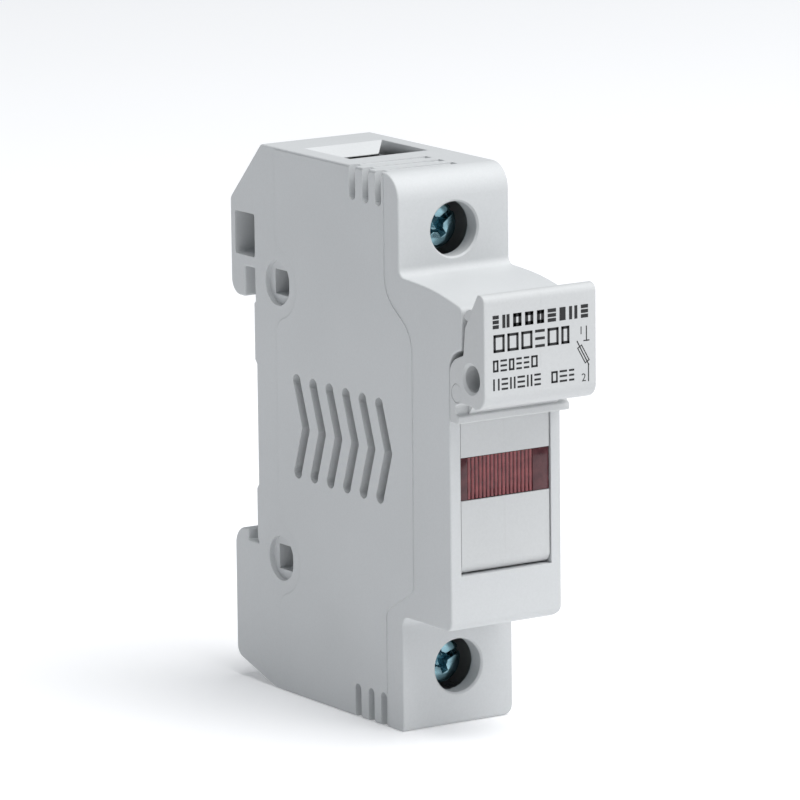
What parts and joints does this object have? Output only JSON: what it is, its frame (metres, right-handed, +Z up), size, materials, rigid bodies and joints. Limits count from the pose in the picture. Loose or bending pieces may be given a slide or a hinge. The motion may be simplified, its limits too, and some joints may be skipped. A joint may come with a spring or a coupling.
{
  "type": "cartridge fuse holder",
  "caption": "Single-pole modular fuse holder for rail mounting, with a swing-out carrier for a cylindrical fuse link, a red indicator window and screw clamps at top and bottom.",
  "frame": {"origin": "centre of the bounding box, on the lower end that the holder stands on", "axes": "+Z up along the module's height, -Y out of the front, X across the module; the rail plane is at y = +25.85 mm"},
  "size_m": [0.018, 0.0632, 0.0765],
  "materials": {
    "housing_grey": "fine matt moulding",
    "carrier_grey": "fine matt moulding",
    "tin_plated_copper": "tin-plated copper strip",
    "spring_steel": "bright spring steel",
    "zinc_steel": "blue zinc plating",
    "nickel_cap": "nickel-plated copper",
    "ceramic": "glazed ceramic",
    "silver_strip": "silver strip",
    "quartz_sand": "packed sand",
    "red_window": "clear red plastic",
    "board_green": "circuit board",
    "lamp_glass": "clear",
    "resistor_tan": "lacquer"
  },
  "bodies": {
    "housing": {"housing_shell": "housing_grey", "housing_cover": "housing_grey", "upper_contact": "tin_plated_copper", "lower_contact": "tin_plated_copper", "upper_jaw_spring": "spring_steel", "lower_jaw_spring": "spring_steel"},
    "carrier": {"carrier_left": "carrier_grey", "carrier_right": "carrier_grey", "carrier_dowel": "carrier_grey", "fuse_barrel": "ceramic", "fuse_cap_upper": "nickel_cap", "fuse_cap_lower": "nickel_cap", "fuse_element": "silver_strip", "fuse_filler": "quartz_sand", "indicator_lens": "red_window", "indicator_board": "board_green", "indicator_lamp": "lamp_glass", "indicator_resistors": "resistor_tan", "lamp_contact_upper": "spring_steel", "lamp_contact_lower": "spring_steel"},
    "upper_screw": {"upper_terminal_screw": "zinc_steel"},
    "lower_screw": {"lower_terminal_screw": "zinc_steel"},
    "upper_cage": {"upper_terminal_cage": "zinc_steel"},
    "lower_cage": {"lower_terminal_cage": "zinc_steel"}
  },
  "joints": [
    {"name": "carrier_swing", "type": "hinge", "parent": "housing", "child": "carrier", "pos_m": [0, -0.02135, 0.0252], "axis": [1, 0, 0], "range_deg": [0, 90]},
    {"name": "upper_screw_turn", "type": "hinge", "parent": "housing", "child": "upper_screw", "pos_m": [0.00015, -0.00415, 0.0684], "axis": [0, 1, 0], "range_deg": [0, 2612]},
    {"name": "upper_cage_slide", "type": "slide", "parent": "housing", "child": "upper_cage", "axis": [0, -1, 0], "range_m": [0, 0.0058]},
    {"name": "lower_screw_turn", "type": "hinge", "parent": "housing", "child": "lower_screw", "pos_m": [0.00015, -0.00415, 0.0081], "axis": [0, 1, 0], "range_deg": [0, 2612]},
    {"name": "lower_cage_slide", "type": "slide", "parent": "housing", "child": "lower_cage", "axis": [0, -1, 0], "range_m": [0, 0.0058]}
  ],
  "couplings": [
    {"joint": "upper_screw_turn", "follows": "upper_cage_slide", "rad_per_m": 7854},
    {"joint": "lower_screw_turn", "follows": "lower_cage_slide", "rad_per_m": 7854}
  ]
}
